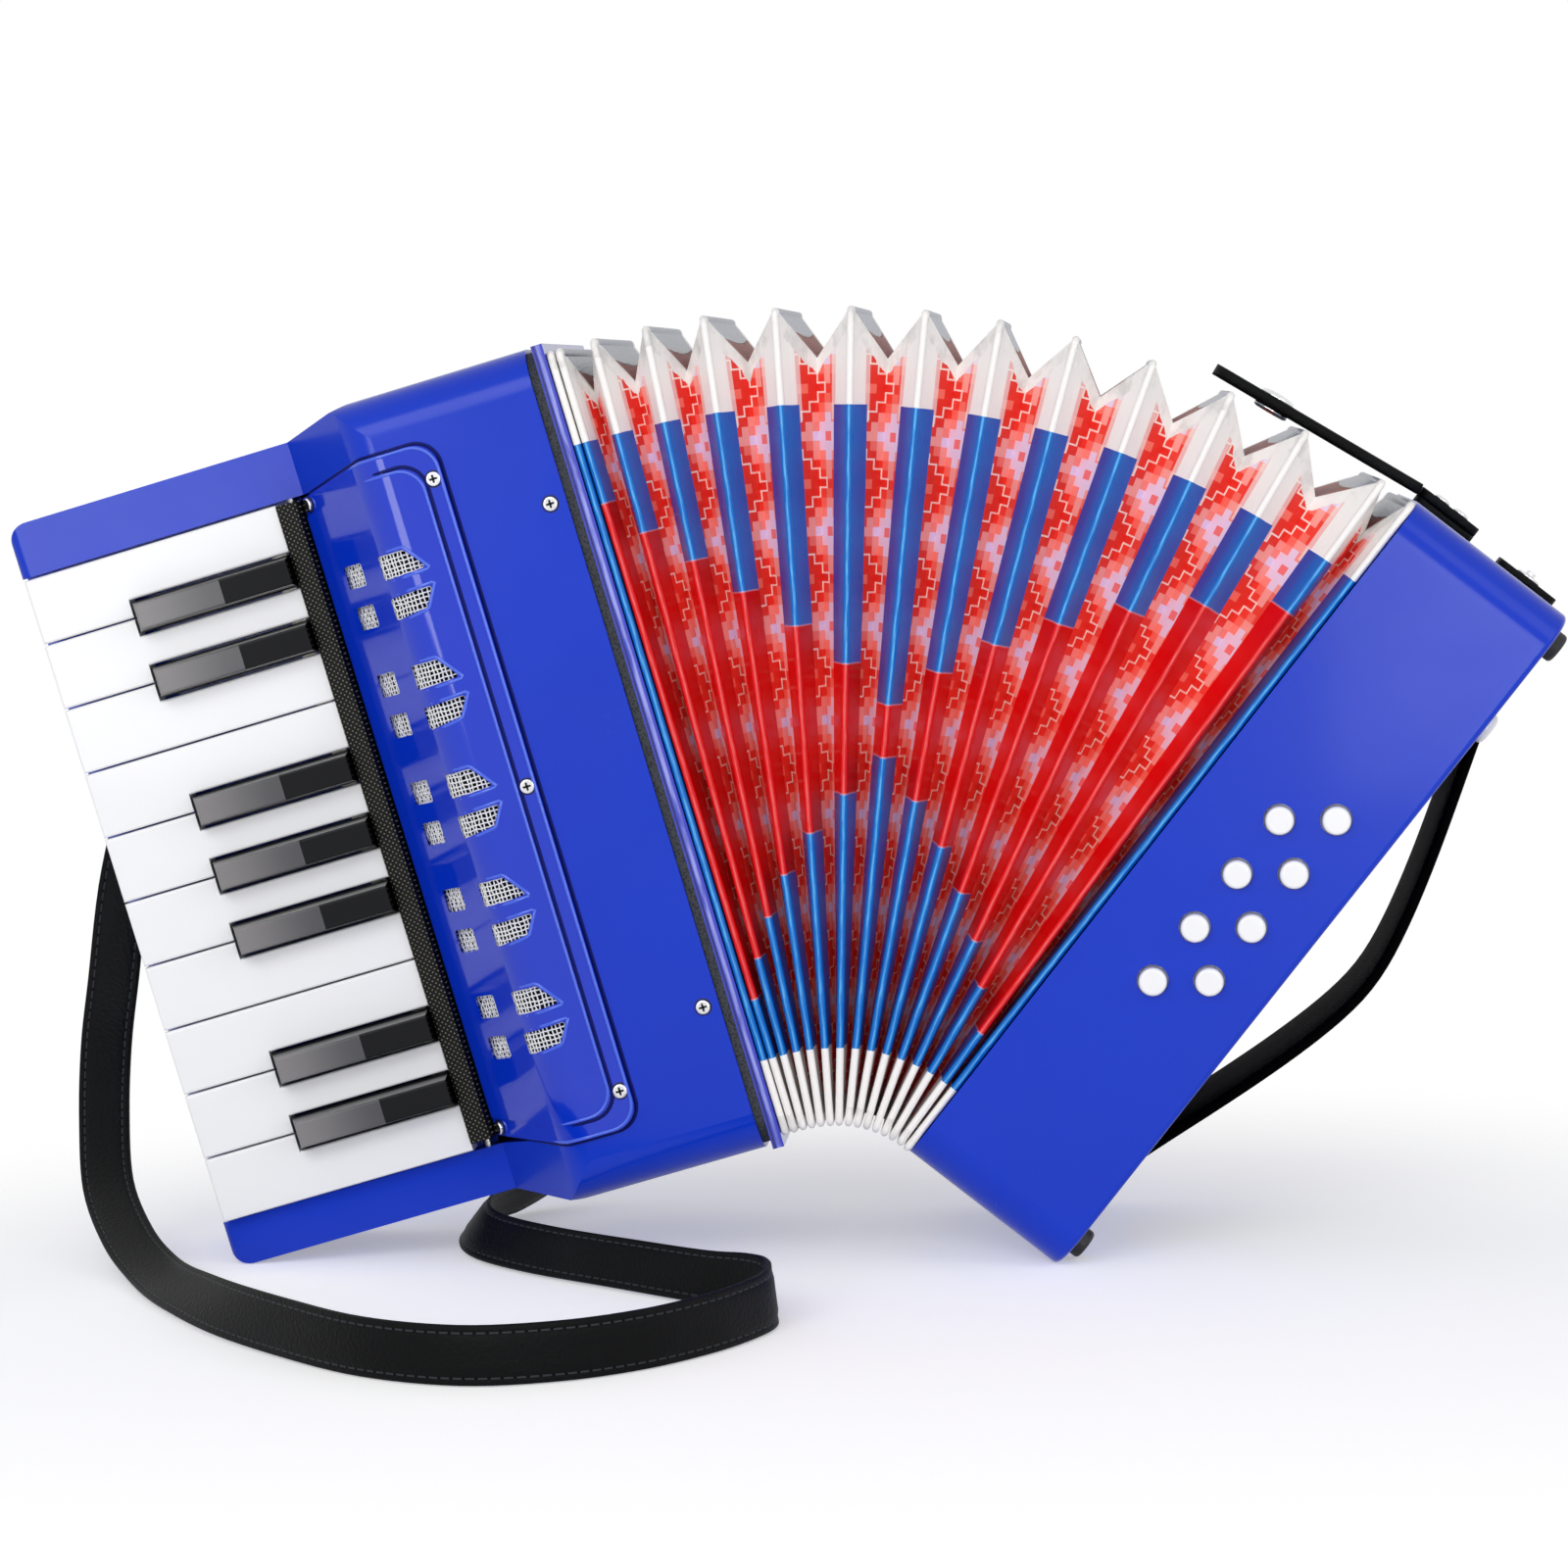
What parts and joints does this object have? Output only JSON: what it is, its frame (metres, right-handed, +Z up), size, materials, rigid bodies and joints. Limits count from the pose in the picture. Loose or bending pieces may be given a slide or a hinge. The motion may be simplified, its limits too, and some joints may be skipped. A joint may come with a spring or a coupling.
{
  "type": "kids accordion",
  "caption": "Child's piano accordion with white and black keys, patterned fan-open bellows, bass buttons, hand strap and a long shoulder strap.",
  "frame": {"origin": "middle of the footprint of the whole object, on the surface it stands on", "axes": "+X from the keyboard end to the bass end, +Y from the front (keys and buttons) to the back, +Z up"},
  "size_m": [0.4232, 0.2442, 0.2595],
  "materials": {
    "case_blue": "gloss",
    "cover_blue": "gloss",
    "mesh_white": "woven",
    "strip_black": "satin",
    "steel": "satin",
    "spring_steel": "satin",
    "wood": "plain",
    "foam": "matt",
    "frame_blue": "gloss",
    "chrome": "polished",
    "strap_black": "grained",
    "fold_edge": "taped edge",
    "fold_paper": "covered card",
    "key_white": "gloss",
    "key_black": "gloss",
    "button_white": "gloss",
    "foot_rubber": "matt"
  },
  "bodies": {
    "treble_end": {"treble_case": "case_blue", "grille_cover": "cover_blue", "grille_mesh": "mesh_white", "key_strip": "strip_black", "key_axle": "steel", "key_springs": "spring_steel", "treble_reed_board": "wood", "treble_gasket": "foam", "treble_frame": "frame_blue", "treble_screws": "chrome", "strap_brackets": "chrome", "shoulder_strap": "strap_black", "bellows_ridge_01_02": "fold_edge", "bellows_skin": "fold_paper", "closure_strap_bottom": "strap_black"},
    "fold_03": {"bellows_ridge_03": "fold_edge"},
    "fold_04": {"bellows_ridge_04": "fold_edge"},
    "fold_05": {"bellows_ridge_05": "fold_edge"},
    "fold_06": {"bellows_ridge_06": "fold_edge"},
    "fold_07": {"bellows_ridge_07": "fold_edge"},
    "fold_08": {"bellows_ridge_08": "fold_edge"},
    "fold_09": {"bellows_ridge_09": "fold_edge"},
    "fold_10": {"bellows_ridge_10": "fold_edge"},
    "fold_11": {"bellows_ridge_11": "fold_edge"},
    "fold_12": {"bellows_ridge_12": "fold_edge"},
    "fold_13": {"bellows_ridge_13": "fold_edge"},
    "fold_14": {"bellows_ridge_14": "fold_edge"},
    "bass_end": {"bellows_ridge_15": "fold_edge", "bass_case": "case_blue", "bass_reed_board": "wood", "bass_feet": "foot_rubber", "bass_fittings": "chrome", "hand_strap": "strap_black"},
    "white_key_01": {"white_key_01": "key_white"},
    "white_key_02": {"white_key_02": "key_white"},
    "white_key_03": {"white_key_03": "key_white"},
    "white_key_04": {"white_key_04": "key_white"},
    "white_key_05": {"white_key_05": "key_white"},
    "white_key_06": {"white_key_06": "key_white"},
    "white_key_07": {"white_key_07": "key_white"},
    "white_key_08": {"white_key_08": "key_white"},
    "white_key_09": {"white_key_09": "key_white"},
    "white_key_10": {"white_key_10": "key_white"},
    "black_key_1": {"black_key_1": "key_black"},
    "black_key_2": {"black_key_2": "key_black"},
    "black_key_3": {"black_key_3": "key_black"},
    "black_key_4": {"black_key_4": "key_black"},
    "black_key_5": {"black_key_5": "key_black"},
    "black_key_6": {"black_key_6": "key_black"},
    "black_key_7": {"black_key_7": "key_black"},
    "bass_button_1": {"bass_button_1": "button_white"},
    "bass_button_2": {"bass_button_2": "button_white"},
    "bass_button_3": {"bass_button_3": "button_white"},
    "bass_button_4": {"bass_button_4": "button_white"},
    "bass_button_5": {"bass_button_5": "button_white"},
    "bass_button_6": {"bass_button_6": "button_white"},
    "bass_button_7": {"bass_button_7": "button_white"},
    "bass_button_8": {"bass_button_8": "button_white"},
    "air_button": {"air_button": "button_white"},
    "closure_strap_top": {"closure_strap_top": "strap_black"}
  },
  "joints": [
    {"name": "fold_hinge_01", "type": "hinge", "parent": "treble_end", "child": "fold_03", "pos_m": [0.00313, 0.05903, 0.03832], "axis": [0, 1, 0], "range_deg": [-1.9, 0.18], "deforming": ["bellows_skin", "closure_strap_bottom"]},
    {"name": "fold_hinge_02", "type": "hinge", "parent": "fold_03", "child": "fold_04", "pos_m": [0.00549, 0.05903, 0.03886], "axis": [0, 1, 0], "range_deg": [-3.1, 0.29], "deforming": ["bellows_skin", "closure_strap_bottom"]},
    {"name": "fold_hinge_03", "type": "hinge", "parent": "fold_04", "child": "fold_05", "pos_m": [0.00787, 0.05903, 0.03928], "axis": [0, 1, 0], "range_deg": [-3.48, 0.32], "deforming": ["bellows_skin", "closure_strap_bottom"]},
    {"name": "fold_hinge_04", "type": "hinge", "parent": "fold_05", "child": "fold_06", "pos_m": [0.01027, 0.05903, 0.03955], "axis": [0, 1, 0], "range_deg": [-4.4, 0.41], "deforming": ["bellows_skin", "closure_strap_bottom"]},
    {"name": "fold_hinge_05", "type": "hinge", "parent": "fold_06", "child": "fold_07", "pos_m": [0.01269, 0.05903, 0.03964], "axis": [0, 1, 0], "range_deg": [-4.67, 0.43], "deforming": ["bellows_skin", "closure_strap_bottom"]},
    {"name": "fold_hinge_06", "type": "hinge", "parent": "fold_07", "child": "fold_08", "pos_m": [0.01511, 0.05903, 0.03953], "axis": [0, 1, 0], "range_deg": [-4.56, 0.42], "deforming": ["bellows_skin", "closure_strap_bottom"]},
    {"name": "fold_hinge_07", "type": "hinge", "parent": "fold_08", "child": "fold_09", "pos_m": [0.01751, 0.05903, 0.03922], "axis": [0, 1, 0], "range_deg": [-4.62, 0.43], "deforming": ["bellows_skin", "closure_strap_bottom"]},
    {"name": "fold_hinge_08", "type": "hinge", "parent": "fold_09", "child": "fold_10", "pos_m": [0.01988, 0.05903, 0.03873], "axis": [0, 1, 0], "range_deg": [-4.72, 0.44], "deforming": ["bellows_skin", "closure_strap_bottom"]},
    {"name": "fold_hinge_09", "type": "hinge", "parent": "fold_10", "child": "fold_11", "pos_m": [0.0222, 0.05903, 0.03804], "axis": [0, 1, 0], "range_deg": [-4.94, 0.46], "deforming": ["bellows_skin", "closure_strap_bottom"]},
    {"name": "fold_hinge_10", "type": "hinge", "parent": "fold_11", "child": "fold_12", "pos_m": [0.02445, 0.05903, 0.03716], "axis": [0, 1, 0], "range_deg": [-5.21, 0.48], "deforming": ["bellows_skin", "closure_strap_bottom"]},
    {"name": "fold_hinge_11", "type": "hinge", "parent": "fold_12", "child": "fold_13", "pos_m": [0.02662, 0.05903, 0.03608], "axis": [0, 1, 0], "range_deg": [-5.16, 0.48], "deforming": ["bellows_skin", "closure_strap_bottom"]},
    {"name": "fold_hinge_12", "type": "hinge", "parent": "fold_13", "child": "fold_14", "pos_m": [0.02867, 0.05903, 0.0348], "axis": [0, 1, 0], "range_deg": [-5.64, 0.52], "deforming": ["bellows_skin", "closure_strap_bottom"]},
    {"name": "fold_hinge_13", "type": "hinge", "parent": "fold_14", "child": "bass_end", "pos_m": [0.0306, 0.05903, 0.03333], "axis": [0, 1, 0], "range_deg": [-1.9, 0.18], "deforming": ["bellows_skin", "closure_strap_bottom"]},
    {"name": "white_key_01_press", "type": "hinge", "parent": "treble_end", "child": "white_key_01", "pos_m": [-0.10979, 0.04268, 0.12211], "axis": [0.257, 0, -0.9664], "range_deg": [0, 3.02], "stiffness_Nm_per_rad": 0.15, "springref_deg": -11.46, "deforming": ["key_springs"]},
    {"name": "white_key_02_press", "type": "hinge", "parent": "treble_end", "child": "white_key_02", "pos_m": [-0.10979, 0.04268, 0.12211], "axis": [0.257, 0, -0.9664], "range_deg": [0, 3.02], "stiffness_Nm_per_rad": 0.15, "springref_deg": -11.46, "deforming": ["key_springs"]},
    {"name": "white_key_03_press", "type": "hinge", "parent": "treble_end", "child": "white_key_03", "pos_m": [-0.10979, 0.04268, 0.12211], "axis": [0.257, 0, -0.9664], "range_deg": [0, 3.02], "stiffness_Nm_per_rad": 0.15, "springref_deg": -11.46, "deforming": ["key_springs"]},
    {"name": "white_key_04_press", "type": "hinge", "parent": "treble_end", "child": "white_key_04", "pos_m": [-0.10979, 0.04268, 0.12211], "axis": [0.257, 0, -0.9664], "range_deg": [0, 3.02], "stiffness_Nm_per_rad": 0.15, "springref_deg": -11.46, "deforming": ["key_springs"]},
    {"name": "white_key_05_press", "type": "hinge", "parent": "treble_end", "child": "white_key_05", "pos_m": [-0.10979, 0.04268, 0.12211], "axis": [0.257, 0, -0.9664], "range_deg": [0, 3.02], "stiffness_Nm_per_rad": 0.15, "springref_deg": -11.46, "deforming": ["key_springs"]},
    {"name": "white_key_06_press", "type": "hinge", "parent": "treble_end", "child": "white_key_06", "pos_m": [-0.10979, 0.04268, 0.12211], "axis": [0.257, 0, -0.9664], "range_deg": [0, 3.02], "stiffness_Nm_per_rad": 0.15, "springref_deg": -11.46, "deforming": ["key_springs"]},
    {"name": "white_key_07_press", "type": "hinge", "parent": "treble_end", "child": "white_key_07", "pos_m": [-0.10979, 0.04268, 0.12211], "axis": [0.257, 0, -0.9664], "range_deg": [0, 3.02], "stiffness_Nm_per_rad": 0.15, "springref_deg": -11.46, "deforming": ["key_springs"]},
    {"name": "white_key_08_press", "type": "hinge", "parent": "treble_end", "child": "white_key_08", "pos_m": [-0.10979, 0.04268, 0.12211], "axis": [0.257, 0, -0.9664], "range_deg": [0, 3.02], "stiffness_Nm_per_rad": 0.15, "springref_deg": -11.46, "deforming": ["key_springs"]},
    {"name": "white_key_09_press", "type": "hinge", "parent": "treble_end", "child": "white_key_09", "pos_m": [-0.10979, 0.04268, 0.12211], "axis": [0.257, 0, -0.9664], "range_deg": [0, 3.02], "stiffness_Nm_per_rad": 0.15, "springref_deg": -11.46, "deforming": ["key_springs"]},
    {"name": "white_key_10_press", "type": "hinge", "parent": "treble_end", "child": "white_key_10", "pos_m": [-0.10979, 0.04268, 0.12211], "axis": [0.257, 0, -0.9664], "range_deg": [0, 3.02], "stiffness_Nm_per_rad": 0.15, "springref_deg": -11.46, "deforming": ["key_springs"]},
    {"name": "black_key_1_press", "type": "hinge", "parent": "treble_end", "child": "black_key_1", "pos_m": [-0.10979, 0.04268, 0.12211], "axis": [0.257, 0, -0.9664], "range_deg": [0, 3.02], "stiffness_Nm_per_rad": 0.15, "springref_deg": -11.46, "deforming": ["key_springs"]},
    {"name": "black_key_2_press", "type": "hinge", "parent": "treble_end", "child": "black_key_2", "pos_m": [-0.10979, 0.04268, 0.12211], "axis": [0.257, 0, -0.9664], "range_deg": [0, 3.02], "stiffness_Nm_per_rad": 0.15, "springref_deg": -11.46, "deforming": ["key_springs"]},
    {"name": "black_key_3_press", "type": "hinge", "parent": "treble_end", "child": "black_key_3", "pos_m": [-0.10979, 0.04268, 0.12211], "axis": [0.257, 0, -0.9664], "range_deg": [0, 3.02], "stiffness_Nm_per_rad": 0.15, "springref_deg": -11.46, "deforming": ["key_springs"]},
    {"name": "black_key_4_press", "type": "hinge", "parent": "treble_end", "child": "black_key_4", "pos_m": [-0.10979, 0.04268, 0.12211], "axis": [0.257, 0, -0.9664], "range_deg": [0, 3.02], "stiffness_Nm_per_rad": 0.15, "springref_deg": -11.46, "deforming": ["key_springs"]},
    {"name": "black_key_5_press", "type": "hinge", "parent": "treble_end", "child": "black_key_5", "pos_m": [-0.10979, 0.04268, 0.12211], "axis": [0.257, 0, -0.9664], "range_deg": [0, 3.02], "stiffness_Nm_per_rad": 0.15, "springref_deg": -11.46, "deforming": ["key_springs"]},
    {"name": "black_key_6_press", "type": "hinge", "parent": "treble_end", "child": "black_key_6", "pos_m": [-0.10979, 0.04268, 0.12211], "axis": [0.257, 0, -0.9664], "range_deg": [0, 3.02], "stiffness_Nm_per_rad": 0.15, "springref_deg": -11.46, "deforming": ["key_springs"]},
    {"name": "black_key_7_press", "type": "hinge", "parent": "treble_end", "child": "black_key_7", "pos_m": [-0.10979, 0.04268, 0.12211], "axis": [0.257, 0, -0.9664], "range_deg": [0, 3.02], "stiffness_Nm_per_rad": 0.15, "springref_deg": -11.46, "deforming": ["key_springs"]},
    {"name": "bass_button_1_press", "type": "slide", "parent": "bass_end", "child": "bass_button_1", "axis": [0, 1, 0], "range_m": [0, 0.003], "stiffness_N_per_m": 120, "springref_m": -0.003},
    {"name": "bass_button_2_press", "type": "slide", "parent": "bass_end", "child": "bass_button_2", "axis": [0, 1, 0], "range_m": [0, 0.003], "stiffness_N_per_m": 120, "springref_m": -0.003},
    {"name": "bass_button_3_press", "type": "slide", "parent": "bass_end", "child": "bass_button_3", "axis": [0, 1, 0], "range_m": [0, 0.003], "stiffness_N_per_m": 120, "springref_m": -0.003},
    {"name": "bass_button_4_press", "type": "slide", "parent": "bass_end", "child": "bass_button_4", "axis": [0, 1, 0], "range_m": [0, 0.003], "stiffness_N_per_m": 120, "springref_m": -0.003},
    {"name": "bass_button_5_press", "type": "slide", "parent": "bass_end", "child": "bass_button_5", "axis": [0, 1, 0], "range_m": [0, 0.003], "stiffness_N_per_m": 120, "springref_m": -0.003},
    {"name": "bass_button_6_press", "type": "slide", "parent": "bass_end", "child": "bass_button_6", "axis": [0, 1, 0], "range_m": [0, 0.003], "stiffness_N_per_m": 120, "springref_m": -0.003},
    {"name": "bass_button_7_press", "type": "slide", "parent": "bass_end", "child": "bass_button_7", "axis": [0, 1, 0], "range_m": [0, 0.003], "stiffness_N_per_m": 120, "springref_m": -0.003},
    {"name": "bass_button_8_press", "type": "slide", "parent": "bass_end", "child": "bass_button_8", "axis": [0, 1, 0], "range_m": [0, 0.003], "stiffness_N_per_m": 120, "springref_m": -0.003},
    {"name": "air_button_press", "type": "slide", "parent": "bass_end", "child": "air_button", "axis": [-0.7738, 0, 0.6335], "range_m": [0, 0.003], "stiffness_N_per_m": 120, "springref_m": -0.003},
    {"name": "closure_strap_lift", "type": "hinge", "parent": "bass_end", "child": "closure_strap_top", "pos_m": [0.17472, 0.05903, 0.20548], "axis": [0, 1, 0], "range_deg": [-1.03, 10.65]}
  ],
  "couplings": [
    {"joint": "fold_hinge_01", "follows": "fold_hinge_12", "ratio": 0.33654},
    {"joint": "fold_hinge_02", "follows": "fold_hinge_12", "ratio": 0.54808},
    {"joint": "fold_hinge_03", "follows": "fold_hinge_12", "ratio": 0.61538},
    {"joint": "fold_hinge_04", "follows": "fold_hinge_12", "ratio": 0.77885},
    {"joint": "fold_hinge_05", "follows": "fold_hinge_12", "ratio": 0.82692},
    {"joint": "fold_hinge_06", "follows": "fold_hinge_12", "ratio": 0.80769},
    {"joint": "fold_hinge_07", "follows": "fold_hinge_12", "ratio": 0.81731},
    {"joint": "fold_hinge_08", "follows": "fold_hinge_12", "ratio": 0.83654},
    {"joint": "fold_hinge_09", "follows": "fold_hinge_12", "ratio": 0.875},
    {"joint": "fold_hinge_10", "follows": "fold_hinge_12", "ratio": 0.92308},
    {"joint": "fold_hinge_11", "follows": "fold_hinge_12", "ratio": 0.91346},
    {"joint": "fold_hinge_13", "follows": "fold_hinge_12", "ratio": 0.33654},
    {"joint": "closure_strap_lift", "follows": "fold_hinge_12", "ratio": -1.8805}
  ]
}
